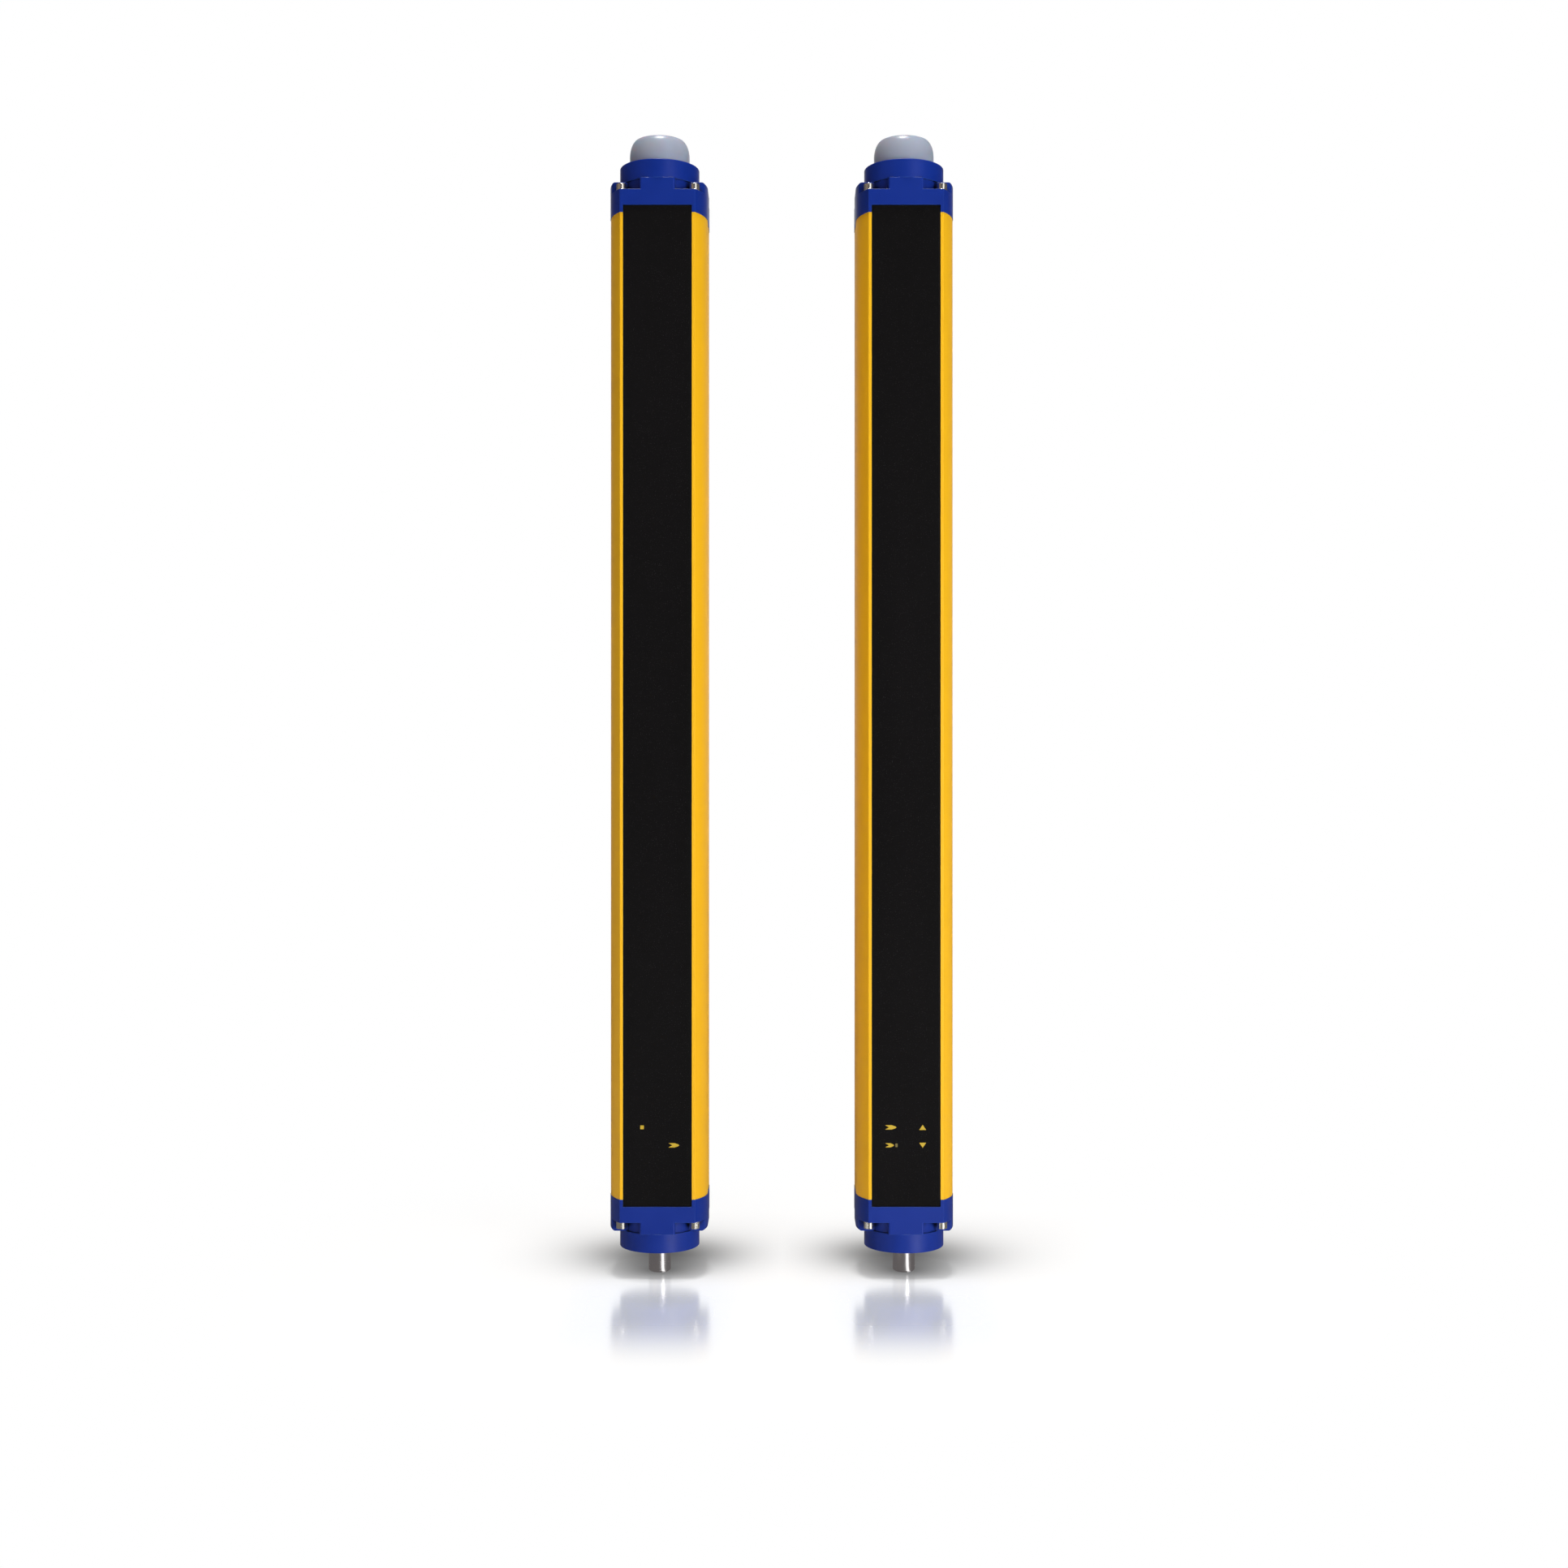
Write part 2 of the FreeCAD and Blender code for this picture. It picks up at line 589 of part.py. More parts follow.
def lamp_lead():
    """From the lamp board straight down to the end of the optics board."""
    middle_y = (board_front_y + board_back_y) / 2
    return rod(LAMP_LEAD_D / 2, -END_SPACE, lamp_shelf_z, y=middle_y)


# ---- plug -----------------------------------------------------------------------------------------------------------------
def lower_cap():
    hole = rod(shank_r + PLUG_CLEARANCE, plug_wall_z - OVERCUT, cap_height + OVERCUT)
    seat = rod(plug_seat_r, pocket_top - OVERCUT, plug_wall_z)
    return cap_body().cut([hole, seat])


def plug_shell():
    """A sleeve with a flange inside the cap, a relief groove outside it and a bevelled outer end."""
    shank = rod(shank_r, flange_outer_z, cap_height)
    relief = rod(plug_r - PLUG_RELIEF_DEPTH, cap_height, cap_height + PLUG_RELIEF)
    sleeve = rod(plug_r, cap_height + PLUG_RELIEF, plug_end_z)
    rim = [e for e in sleeve.Edges if e.BoundBox.ZMin > plug_end_z - 0.01]
    sleeve = sleeve.makeChamfer(PLUG_BEVEL, rim)
    flange = rod(PLUG_FLANGE_D / 2, flange_inner_z, flange_outer_z)
    bore = rod(plug_bore_r, flange_inner_z - OVERCUT, plug_end_z + OVERCUT)
    collar = rod(plug_bore_r + PLUG_COLLAR, flange_inner_z - OVERCUT, flange_inner_z + PLUG_COLLAR_HEIGHT)
    return sleeve.fuse([relief, shank, flange]).removeSplitter().cut([bore, collar])


def pin_places(count):
    """A five-pin plug has one pin in the middle, an eight-pin plug too."""
    ring = count - 1
    places = [(0.0, 0.0)]
    for k in range(ring):
        angle = math.radians(360 / ring * (k + 0.5))
        places.append((PIN_CIRCLE_D / 2 * math.sin(angle), PIN_CIRCLE_D / 2 * math.cos(angle)))
    return places


def plug_insert(pin_count, pin_d):
    face_z = plug_end_z - PLUG_SOCKET_DEPTH
    body_r = plug_bore_r - PLUG_CLEARANCE
    body = rod(body_r, flange_inner_z, face_z)
    collar = rod(body_r + PLUG_COLLAR, flange_inner_z, flange_inner_z + PLUG_COLLAR_HEIGHT - PLUG_CLEARANCE)
    tail = rod(PLUG_NUT_BORE_D / 2 - PLUG_CLEARANCE, plug_tail_z, flange_inner_z)
    half_key = PLUG_KEY_WIDTH / 2
    key = box(-half_key, half_key, body_r - PLUG_KEY_HEIGHT, body_r, face_z - OVERCUT, face_z + PIN_LENGTH)
    key = key.common(rod(body_r, face_z - OVERCUT, face_z + PIN_LENGTH))
    holes = [
        rod(pin_d / 2 + PIN_FIT, flange_inner_z, face_z + OVERCUT, x, y) for x, y in pin_places(pin_count)
    ]
    return body.fuse([collar, tail, key]).removeSplitter().cut(holes)


def plug_pins(pin_count, pin_d):
    face_z = plug_end_z - PLUG_SOCKET_DEPTH
    tip_z = face_z + PIN_LENGTH
    pin = rod(pin_d / 2, flange_inner_z, tip_z)
    tip = [e for e in pin.Edges if e.BoundBox.ZMin > tip_z - 0.01]
    pin = pin.makeChamfer(pin_d / 4, tip)
    return group([moved(pin, x, y) for x, y in pin_places(pin_count)])


def plug_seal():
    return tube(PLUG_SEAL_D / 2, shank_r + PLUG_CLEARANCE, flange_outer_z, plug_wall_z)


def plug_nut():
    """A ring nut behind the flange, with two slots for a pin spanner."""
    nut = tube(PLUG_FLANGE_D / 2, PLUG_NUT_BORE_D / 2, nut_inner_z, flange_inner_z)
    half = PLUG_NUT_NOTCH / 2
    notch = box(-PLUG_FLANGE_D, PLUG_FLANGE_D, -half, half, nut_inner_z - OVERCUT, nut_inner_z + half)
    return nut.cut(notch)


def plug_lead():
    """From the insert's tail to the control board's lower end, on straight runs and tangent arcs."""
    middle_y = (control_front_y + control_back_y) / 2
    end_z = -CONTROL_MARGIN
    points = [
        FreeCAD.Vector(0, 0, plug_tail_z),
        FreeCAD.Vector(0, 0, plug_tail_z - PLUG_LEAD_RUN),
        FreeCAD.Vector(0, middle_y, end_z + PLUG_LEAD_RUN),
        FreeCAD.Vector(0, middle_y, end_z),
    ]
    return cable(points, PLUG_LEAD_D / 2)


def cable(points, radius):
    """A round lead along straight runs, joined by arcs that are as large as the runs allow."""
    edges = []
    start = points[0]
    for before, corner, after in zip(points, points[1:], points[2:]):
        into = (corner - before).normalize()
        out = (after - corner).normalize()
        reach = 0.45 * min((corner - before).Length, (after - corner).Length)
        half_turn = into.getAngle(out) / 2
        arc_start = corner - into * reach
        arc_end = corner + out * reach
        bend_r = reach / math.tan(half_turn)
        to_centre = (out - into).normalize()
        middle = corner + to_centre * (bend_r / math.cos(half_turn) - bend_r)
        edges.append(Part.makeLine(start, arc_start))
        edges.append(Part.Arc(arc_start, middle, arc_end).toShape())
        start = arc_end
    edges.append(Part.makeLine(start, points[-1]))
    path = Part.Wire(edges)
    section = Part.Wire(Part.makeCircle(radius, points[0], points[1] - points[0]))
    return path.makePipeShell([section], True, True)


# ---- optics -----------------------------------------------------------------------------------------------------------------
def optics_carrier(marks):
    """The moulded bar that holds the lenses, with a tapered aperture behind each of them."""
    narrow = opening_half - INNER_GAP
    front = box(-narrow, narrow, carrier_front_y, shoulder_y, board_bottom, board_top)
    back = box(-carrier_half, carrier_half, shoulder_y, board_front_y, board_bottom, board_top)
    holes = []
    for z in beam_heights:
        hole_front_y = board_front_y - DIODE_HOLE_DEPTH
        holes.append(bar(lens_seat_r, carrier_front_y - OVERCUT, lens_seat_y, 0, z))
        holes.append(bar(diode_hole_r, hole_front_y, board_front_y + OVERCUT, 0, z))
        holes.append(
            Part.makeCone(
                LENS_D / 2 - LENS_LAND,
                diode_hole_r,
                hole_front_y - lens_seat_y,
                FreeCAD.Vector(0, lens_seat_y, z),
                Y_AXIS,
            )
        )
    hollow_half = narrow - CARRIER_WALL
    hollow_margin = lens_seat_r + APERTURE_WALL
    for below, above in zip(beam_heights, beam_heights[1:]):
        z0 = below + hollow_margin
        z1 = above - hollow_margin
        hollow_y = carrier_front_y + CARRIER_WALL
        holes.append(box(-hollow_half, hollow_half, hollow_y, board_front_y + OVERCUT, z0, z1))
    for x, z in marks:
        head_y = carrier_front_y + PIPE_HEAD_HEIGHT
        holes.append(bar(PIPE_D / 2 + PIPE_GAP, head_y, board_front_y + OVERCUT, x, z))
        holes.append(bar(PIPE_HEAD_D / 2 + PIPE_GAP, carrier_front_y - OVERCUT, head_y, x, z))
    return front.fuse(back).removeSplitter().cut(holes)


def optics_board():
    return box(-carrier_half, carrier_half, board_front_y, board_back_y, board_bottom, board_top)


def lenses():
    """Plano-convex lenses, flat side on the seat."""
    edge_r = LENS_D / 2
    corner = FreeCAD.Vector(edge_r, 0, LENS_EDGE)
    apex = FreeCAD.Vector(0, 0, LENS_THICKNESS)
    rise = LENS_THICKNESS - LENS_EDGE
    ball_r = (edge_r**2 + rise**2) / (2 * rise)
    half_angle = math.asin(edge_r / ball_r) / 2
    middle = FreeCAD.Vector(
        ball_r * math.sin(half_angle), 0, LENS_THICKNESS - ball_r * (1 - math.cos(half_angle))
    )
    edges = [
        Part.makeLine(ORIGIN, FreeCAD.Vector(edge_r, 0, 0)),
        Part.makeLine(FreeCAD.Vector(edge_r, 0, 0), corner),
        Part.Arc(corner, middle, apex).toShape(),
        Part.makeLine(apex, ORIGIN),
    ]
    lens = Part.Face(Part.Wire(edges)).revolve(ORIGIN, Z_AXIS, 360)
    lens = turned(lens, X_AXIS, 90)
    return group([moved(lens, y=lens_seat_y, z=z) for z in beam_heights])


def emitter_diodes():
    """Blunt-nosed infrared diodes standing on the board."""
    body = rod(DIODE_D / 2, 0, DIODE_HEIGHT)
    nose = [e for e in body.Edges if e.BoundBox.ZMin > DIODE_HEIGHT / 2]
    diode = turned(body.makeChamfer(DIODE_BEVEL, nose), X_AXIS, 90)
    return group([moved(diode, y=board_front_y, z=z) for z in beam_heights])


def receiver_photodiodes():
    """Flat square photodiodes with a bevelled face."""
    half = PHOTODIODE_SIZE / 2
    cell = box(-half, half, -PHOTODIODE_HEIGHT, 0, -half, half)
    face = [e for e in cell.Edges if e.BoundBox.YMax < -PHOTODIODE_HEIGHT / 2]
    cell = cell.makeChamfer(half / 4, face)
    return group([moved(cell, y=board_front_y, z=z) for z in beam_heights])


def light_pipes(marks):
    pipes = []
    end_y = board_front_y - INDICATOR_HEIGHT - PIPE_GAP
    for x, z in marks:
        stem = bar(PIPE_D / 2, carrier_front_y, end_y, x, z)
        head = bar(PIPE_HEAD_D / 2, carrier_front_y, carrier_front_y + PIPE_HEAD_HEIGHT, x, z)
        pipes.append(stem.fuse(head).removeSplitter())
    return group(pipes)


def indicator_leds(marks):
    half_x = INDICATOR_WIDTH / 2
    half_z = INDICATOR_LENGTH / 2
    led = box(-half_x, half_x, board_front_y - INDICATOR_HEIGHT, board_front_y, -half_z, half_z)
    return group([moved(led, x=x, z=z) for x, z in marks])


# ---- control board ------------------------------------------------------------------------------------------------------------
def control_board():
    half = CONTROL_WIDTH / 2
    return box(-half, half, control_front_y, control_back_y, control_bottom, control_top)


def board_spacers():
    x = CONTROL_WIDTH / 2 - SPACER_INSET
    spacers = []
    for side in (-1, 1):
        for z in (control_bottom + SPACER_INSET, control_top - SPACER_INSET):
            spacers.append(bar(SPACER_D / 2, board_back_y, control_front_y, side * x, z))
    return group(spacers)


def board_header():
    """The strip of contacts that joins the two boards."""
    half = HEADER_WIDTH / 2
    z1 = control_top - HEADER_MARGIN
    return box(-half, half, board_back_y, control_front_y, z1 - HEADER_THICKNESS, z1)


def board_chips():
    """A processor in the middle of the control board and two output drivers below it."""
    y0 = control_back_y
    y1 = y0 + CHIP_HEIGHT
    half = PROCESSOR_SIZE / 2
    middle_z = (control_bottom + control_top) / 2
    chips = [box(-half, half, y0, y1, middle_z - half, middle_z + half)]
    z0 = control_bottom + DRIVER_MARGIN
    for side in (-1, 1):
        x = side * DRIVER_SPACING / 2
        chips.append(box(x - DRIVER_WIDTH / 2, x + DRIVER_WIDTH / 2, y0, y1, z0 - DRIVER_LENGTH, z0))
    return group(chips)


# ---- the two columns ------------------------------------------------------------------------------------------------------------
def column(marks, detectors, pin_count, pin_d):
    """Every piece of one column about its own axis, by name."""
    screws = cap_screws()
    seal = gasket()
    return {
        "profile": profile(),
        "window": window(),
        "window_seal": window_seal(),
        "optics_carrier": optics_carrier(marks),
        "lenses": lenses(),
        "optics_board": optics_board(),
        "light_pipes": light_pipes(marks),
        "indicator_leds": indicator_leds(marks),
        "control_board": control_board(),
        "board_spacers": board_spacers(),
        "board_header": board_header(),
        "board_chips": board_chips(),
        "upper_cap": place_upper(upper_cap()),
        "upper_gasket": place_upper(seal),
        "upper_screws": place_upper(screws),
        "lamp_dome": place_upper(dome()),
        "dome_seal": place_upper(dome_seal()),
        "lamp_board": place_upper(lamp_board()),
        "lamp_leds": place_upper(lamp_leds()),
        "lamp_lead": place_upper(lamp_lead()),
        "lower_cap": place_lower(lower_cap()),
        "lower_gasket": place_lower(seal),
        "lower_screws": place_lower(screws),
        "plug_shell": place_lower(plug_shell()),
        "plug_insert": place_lower(plug_insert(pin_count, pin_d)),
        "plug_pins": place_lower(plug_pins(pin_count, pin_d)),
        "plug_seal": place_lower(plug_seal()),
        "plug_nut": place_lower(plug_nut()),
        "plug_lead": place_lower(plug_lead()),
    } | detectors


emitter_marks = [
    (-INDICATOR_OFFSET, window_bottom + UPPER_INDICATOR),
    (INDICATOR_OFFSET, window_bottom + LOWER_INDICATOR),
]
receiver_marks = [
    (side * INDICATOR_OFFSET, window_bottom + height)
    for side in (-1, 1)
    for height in (UPPER_INDICATOR, LOWER_INDICATOR)
]
columns = {
    "emitter": (-1, column(emitter_marks, {"diodes": emitter_diodes()}, EMITTER_PIN_COUNT, EMITTER_PIN_D)),
    "receiver": (
        1,
        column(
            receiver_marks,
            {"photodiodes": receiver_photodiodes()},
            RECEIVER_PIN_COUNT,
            RECEIVER_PIN_D,
        ),
    ),
}

os.makedirs("parts", exist_ok=True)
for column_name, (side, pieces) in columns.items():
    for piece_name, piece in pieces.items():
        moved(piece, x=side * COLUMN_SPACING / 2).exportStep(f"parts/{column_name}_{piece_name}.step")
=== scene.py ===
import json
import math

import bpy
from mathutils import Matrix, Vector


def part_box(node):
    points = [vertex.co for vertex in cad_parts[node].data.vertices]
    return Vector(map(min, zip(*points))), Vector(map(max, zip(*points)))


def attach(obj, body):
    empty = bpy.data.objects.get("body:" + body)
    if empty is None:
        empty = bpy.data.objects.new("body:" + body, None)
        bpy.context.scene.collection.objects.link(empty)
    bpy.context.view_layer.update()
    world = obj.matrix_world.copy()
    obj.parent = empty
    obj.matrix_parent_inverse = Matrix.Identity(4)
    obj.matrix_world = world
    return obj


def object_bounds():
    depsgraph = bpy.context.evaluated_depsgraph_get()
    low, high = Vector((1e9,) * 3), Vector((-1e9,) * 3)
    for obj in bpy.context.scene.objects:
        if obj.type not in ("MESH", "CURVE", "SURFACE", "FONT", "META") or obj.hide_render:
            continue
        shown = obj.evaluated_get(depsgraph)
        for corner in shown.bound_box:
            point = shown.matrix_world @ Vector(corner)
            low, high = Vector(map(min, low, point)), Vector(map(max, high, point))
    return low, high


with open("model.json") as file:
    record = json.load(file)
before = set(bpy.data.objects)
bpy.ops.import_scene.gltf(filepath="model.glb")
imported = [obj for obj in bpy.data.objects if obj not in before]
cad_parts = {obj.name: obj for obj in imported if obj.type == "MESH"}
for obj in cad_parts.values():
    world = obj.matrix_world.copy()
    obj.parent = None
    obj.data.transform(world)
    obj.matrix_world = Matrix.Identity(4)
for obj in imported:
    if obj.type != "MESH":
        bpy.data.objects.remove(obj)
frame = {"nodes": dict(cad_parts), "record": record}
cad_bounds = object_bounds()

MM = 0.001
WHITE = (1.0, 1.0, 1.0, 1.0)
BEVEL_SAMPLES = 6
OPENNESS_SAMPLES = 8
EDGE_LEAN = (0.02, 0.25)        # how far a softened normal leans on an edge
# How much the painted highlight strips fade when mirrored a second time.
SECOND_MIRRORING_LOSS = 0.8


# ---- node materials ---------------------------------------------------------
class Value:
    """A number that varies over a surface. Arithmetic on it adds the Math nodes."""

    def __init__(self, finish, socket):
        self.finish = finish
        self.socket = socket

    def _maths(self, operation, first, second):
        return self.finish.maths(operation, first, second)

    def __add__(self, other):
        return self._maths("ADD", self, other)

    def __radd__(self, other):
        return self._maths("ADD", other, self)

    def __sub__(self, other):
        return self._maths("SUBTRACT", self, other)

    def __rsub__(self, other):
        return self._maths("SUBTRACT", other, self)

    def __mul__(self, other):
        return self._maths("MULTIPLY", self, other)

    def __rmul__(self, other):
        return self._maths("MULTIPLY", other, self)

    def __truediv__(self, other):
        return self._maths("DIVIDE", self, other)

    def __pow__(self, other):
        return self._maths("POWER", self, other)


class Finish:
    """A material's node tree, built one node at a time."""

    def __init__(self, name, owner=None):
        self.owner = owner or bpy.data.materials.new(name)
        self.owner.use_nodes = True
        self.tree = self.owner.node_tree
        self.tree.nodes.clear()

    def node(self, kind, settings=None, *ordered, **named):
        """Adds a node: its settings, then what its sockets get, in their order or by name."""
        made = self.tree.nodes.new(kind)
        for key, value in (settings or {}).items():
            setattr(made, key, value)
        for socket, value in zip(made.inputs, ordered):
            self.feed(socket, value)
        for key, value in named.items():
            self.feed(made.inputs[key.replace("_", " ")], value)
        return made

    def feed(self, socket, value):
        """Links a value to a socket, or sets a plain one on it."""
        if isinstance(value, Value):
            self.tree.links.new(value.socket, socket)
        elif isinstance(value, bpy.types.NodeSocket):
            self.tree.links.new(value, socket)
        else:
            socket.default_value = value

    def maths(self, operation, first, second=0.0):
        """One Math node."""
        made = self.node("ShaderNodeMath", {"operation": operation}, first, second)
        return Value(self, made.outputs[0])

    def clamped(self, value):
        """The value, held between 0 and 1."""
        made = self.node("ShaderNodeClamp", Value=value)
        return Value(self, made.outputs[0])

    def place(self, scale=(1.0, 1.0, 1.0)):
        """Object coordinates in metres, stretched by a scale."""
        coordinates = self.node("ShaderNodeTexCoord").outputs["Object"]
        return self.node("ShaderNodeMapping", Vector=coordinates, Scale=scale).outputs[0]

    def along(self, axis):
        """The object coordinate along one axis."""
        split = self.node("ShaderNodeSeparateXYZ", Vector=self.place())
        return Value(self, split.outputs[axis])

    def noise(self, scale, detail=2.0, stretch=(1.0, 1.0, 1.0)):
        """Soft clouds, from 0 to 1."""
        made = self.node(
            "ShaderNodeTexNoise", Vector=self.place(stretch), Scale=scale, Detail=detail
        )
        return Value(self, made.outputs["Fac"])

    def cells(self, scale):
        """The distance from the middle of the nearest cell."""
        made = self.node("ShaderNodeTexVoronoi", Vector=self.place(), Scale=scale)
        return Value(self, made.outputs["Distance"])

    def ramp(self, value, low, high):
        """0 below low and 1 above high, with a smooth step between them."""
        made = self.node(
            "ShaderNodeMapRange", {"interpolation_type": "SMOOTHSTEP"},
            Value=value, From_Min=low, From_Max=high,
        )
        return Value(self, made.outputs["Result"])

    def between(self, value, start, end):
        """1 between two soft edges, each given by the values where it begins and ends."""
        return self.ramp(value, *start) * (1.0 - self.ramp(value, *end))

    def blend(self, factor, first, second):
        """A colour between two colours, whose sockets follow those for numbers and vectors."""
        made = self.node("ShaderNodeMix", {"data_type": "RGBA"}, factor)
        self.feed(made.inputs[6], first)
        self.feed(made.inputs[7], second)
        return made.outputs[2]

    def softened(self, radius):
        """The normal of a surface whose edges are rounded."""
        return self.node("ShaderNodeBevel", {"samples": BEVEL_SAMPLES}, Radius=radius).outputs[0]

    def edges(self, radius):
        """1 on the sharp edges, 0 on the flats."""
        flat = self.node("ShaderNodeNewGeometry").outputs["Normal"]
        made = self.node(
            "ShaderNodeVectorMath", {"operation": "DOT_PRODUCT"}, self.softened(radius), flat
        )
        return self.ramp(1.0 - Value(self, made.outputs["Value"]), *EDGE_LEAN)

    def openness(self, reach, low, high):
        """0 deep in corners and recesses, 1 in the open."""
        made = self.node(
            "ShaderNodeAmbientOcclusion", {"samples": OPENNESS_SAMPLES}, Distance=reach
        )
        return self.ramp(Value(self, made.outputs["AO"]), low, high)

    def bumped(self, height, depth, normal):
        """A normal with a fine relief of a depth on it."""
        made = self.node(
            "ShaderNodeBump", Height=height, Distance=depth, Strength=1.0, Normal=normal
        )
        return made.outputs[0]

    def shader(self, kind, **sockets):
        return self.node(kind, **sockets).outputs[0]

    def output(self, shader, kind="ShaderNodeOutputMaterial"):
        self.node(kind, Surface=shader)

    def surface(self, color, roughness, normal, **constants):
        """Ends a piece's material in one shader and gives the material."""
        self.output(self.shader(
            "ShaderNodeBsdfPrincipled",
            Base_Color=color, Roughness=roughness, Normal=normal, **constants,
        ))
        return self.owner

    def light_path(self, *names):
        """1 for the kinds of ray named."""
        path = self.node("ShaderNodeLightPath")
        total = Value(self, path.outputs[names[0]])
        for name in names[1:]:
            total = self.maths("MAXIMUM", total, Value(self, path.outputs[name]))
        return total

    def first_mirroring(self):
        """1 for what a surface mirrors, less for what is mirrored a second time."""
        depth = Value(self, self.node("ShaderNodeLightPath").outputs["Glossy Depth"])
        return 1.0 - SECOND_MIRRORING_LOSS * self.ramp(depth, 1.2, 1.8)

    def mixed(self, factor, first, second):
        """A shader between two shaders."""
        return self.node("ShaderNodeMixShader", None, factor, first, second).outputs[0]


def grey(level):
    return (level, level, level, 1.0)


def linear(red, green, blue):
    """A colour given as screen values from 0 to 255, as linear light."""

    def one(value):
        value /= 255.0
        return value / 12.92 if value <= 0.04045 else ((value + 0.055) / 1.055) ** 2.4

    return (one(red), one(green), one(blue), 1.0)


def yellow_powder_coat():
    """Satin powder coat over an extrusion: orange peel, faint die lines, thinner on the edges, with a
    painted highlight along them.
    """
    coat = Finish("yellow powder coat")
    cloud = coat.noise(14.0, 3.0, (1.0, 1.0, 0.25))
    die_lines = coat.noise(700.0, 2.0, (1.0, 1.0, 0.004))
    peel = coat.noise(1500.0, 1.0)
    specks = coat.ramp(coat.noise(4200.0, 0.0), 0.70, 0.76)
    edge = coat.edges(0.5 * MM)
    tint = coat.clamped(0.35 + 0.5 * cloud + 0.2 * die_lines)
    color = coat.blend(tint, linear(224, 166, 10), linear(236, 180, 18))
    color = coat.blend(specks * 0.25, color, linear(190, 136, 16))
    # Edges painted lighter: a painted highlight along the creases and lips.
    color = coat.blend(edge * 0.45, color, linear(255, 222, 80))
    height = peel * 0.8 + die_lines * 0.2
    normal = coat.bumped(height, 0.02 * MM, coat.softened(0.25 * MM))
    rough = coat.clamped(0.40 + 0.10 * cloud + 0.05 * peel - 0.06 * edge)
    return coat.surface(color, rough, normal, Specular_IOR_Level=0.28)


def black_acrylic():
    """Polished infrared-clear acrylic: nearly black, with faint haze and wipe marks."""
    pane = Finish("black acrylic")
    haze = pane.noise(26.0, 3.0, (1.0, 1.0, 0.2))
    wipes = pane.noise(240.0, 2.0, (1.0, 1.0, 0.03))
    dust = pane.ramp(pane.noise(2600.0, 0.0), 0.74, 0.80)
    edge = pane.edges(0.3 * MM)
    color = pane.blend(haze, linear(14, 14, 14), linear(19, 18, 19))
    color = pane.blend(dust * 0.10, color, linear(120, 120, 118))
    # Edges painted darker: a painted shade, as in the gap beside the window.
    color = pane.blend(edge * 0.3, color, linear(4, 4, 6))
    rough = pane.clamped(0.10 + 0.06 * haze + 0.04 * wipes + 0.2 * dust)
    normal = pane.bumped(haze * 0.7 + wipes * 0.3, 0.01 * MM, pane.softened(0.2 * MM))
    return pane.surface(color, rough, normal, Specular_IOR_Level=0.12)


def blue_nylon():
    """Moulded nylon with a fine spark-eroded grain and slight flow clouding, a painted highlight on its
    edges and painted shade in its recesses.
    """
    nylon = Finish("blue nylon")
    cloud = nylon.noise(60.0, 3.0)
    grain = nylon.noise(3600.0, 2.0)
    pits = nylon.cells(5200.0)
    edge = nylon.edges(0.4 * MM)
    color = nylon.blend(cloud, linear(5, 38, 126), linear(11, 45, 138))
    color = nylon.blend(grain * 0.18, color, linear(5, 26, 98))
    # Edges painted paler blue: a painted highlight.
    color = nylon.blend(edge * 0.55, color, linear(58, 104, 184))
    # Painted shade: corners and recesses are darkened towards deep navy.
    color = nylon.blend(nylon.openness(5.0 * MM, 0.25, 0.75), linear(4, 8, 30), color)
    rough = nylon.clamped(0.30 + 0.12 * cloud + 0.08 * grain)
    normal = nylon.bumped(grain * 0.7 + pits * 0.3, 0.025 * MM, nylon.softened(0.3 * MM))
    return nylon.surface(color, rough, normal, Specular_IOR_Level=0.22)


def milky_polycarbonate():
    """Light-spreading dome: milky grey-blue, a little paler near its foot and darker towards its crown,
    a painted shade.
    """
    dome = Finish("milky polycarbonate")
    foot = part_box("emitter_upper_cap")[1][2]
    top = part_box("emitter_lamp_dome")[1][2]
    painted_crown_shade = dome.ramp(dome.along(2), foot, top)
    cloud = dome.noise(90.0, 3.0)
    fine = dome.noise(1800.0, 1.0)
    # Painted shade: darker from the foot to the crown.
    color = dome.blend(painted_crown_shade, linear(156, 163, 179), linear(144, 151, 165))
    color = dome.blend(cloud * 0.3, color, linear(144, 152, 167))
    rough = dome.clamped(0.26 + 0.08 * cloud + 0.04 * fine)
    normal = dome.bumped(cloud * 0.5 + fine * 0.5, 0.01 * MM, dome.softened(0.2 * MM))
    return dome.surface(
        color, rough, normal,
        Subsurface_Weight=0.45, Subsurface_Scale=4.0 * MM, Specular_IOR_Level=0.22,
    )


def nickel_plate():
    """Bright nickel over turned brass, with fine tool rings."""
    plate = Finish("nickel plate")
    rings = plate.noise(2600.0, 1.0, (0.02, 0.02, 1.0))
    smear = plate.noise(180.0, 3.0)
    edge = plate.edges(0.15 * MM)
    color = plate.blend(smear, linear(186, 182, 184), linear(204, 201, 200))
    # Edges painted lighter: a painted highlight.
    color = plate.blend(edge * 0.5, color, linear(236, 234, 232))
    rough = plate.clamped(0.20 + 0.07 * smear + 0.05 * rings)
    normal = plate.bumped(rings, 0.004 * MM, plate.softened(0.12 * MM))
    return plate.surface(color, rough, normal, Metallic=1.0)


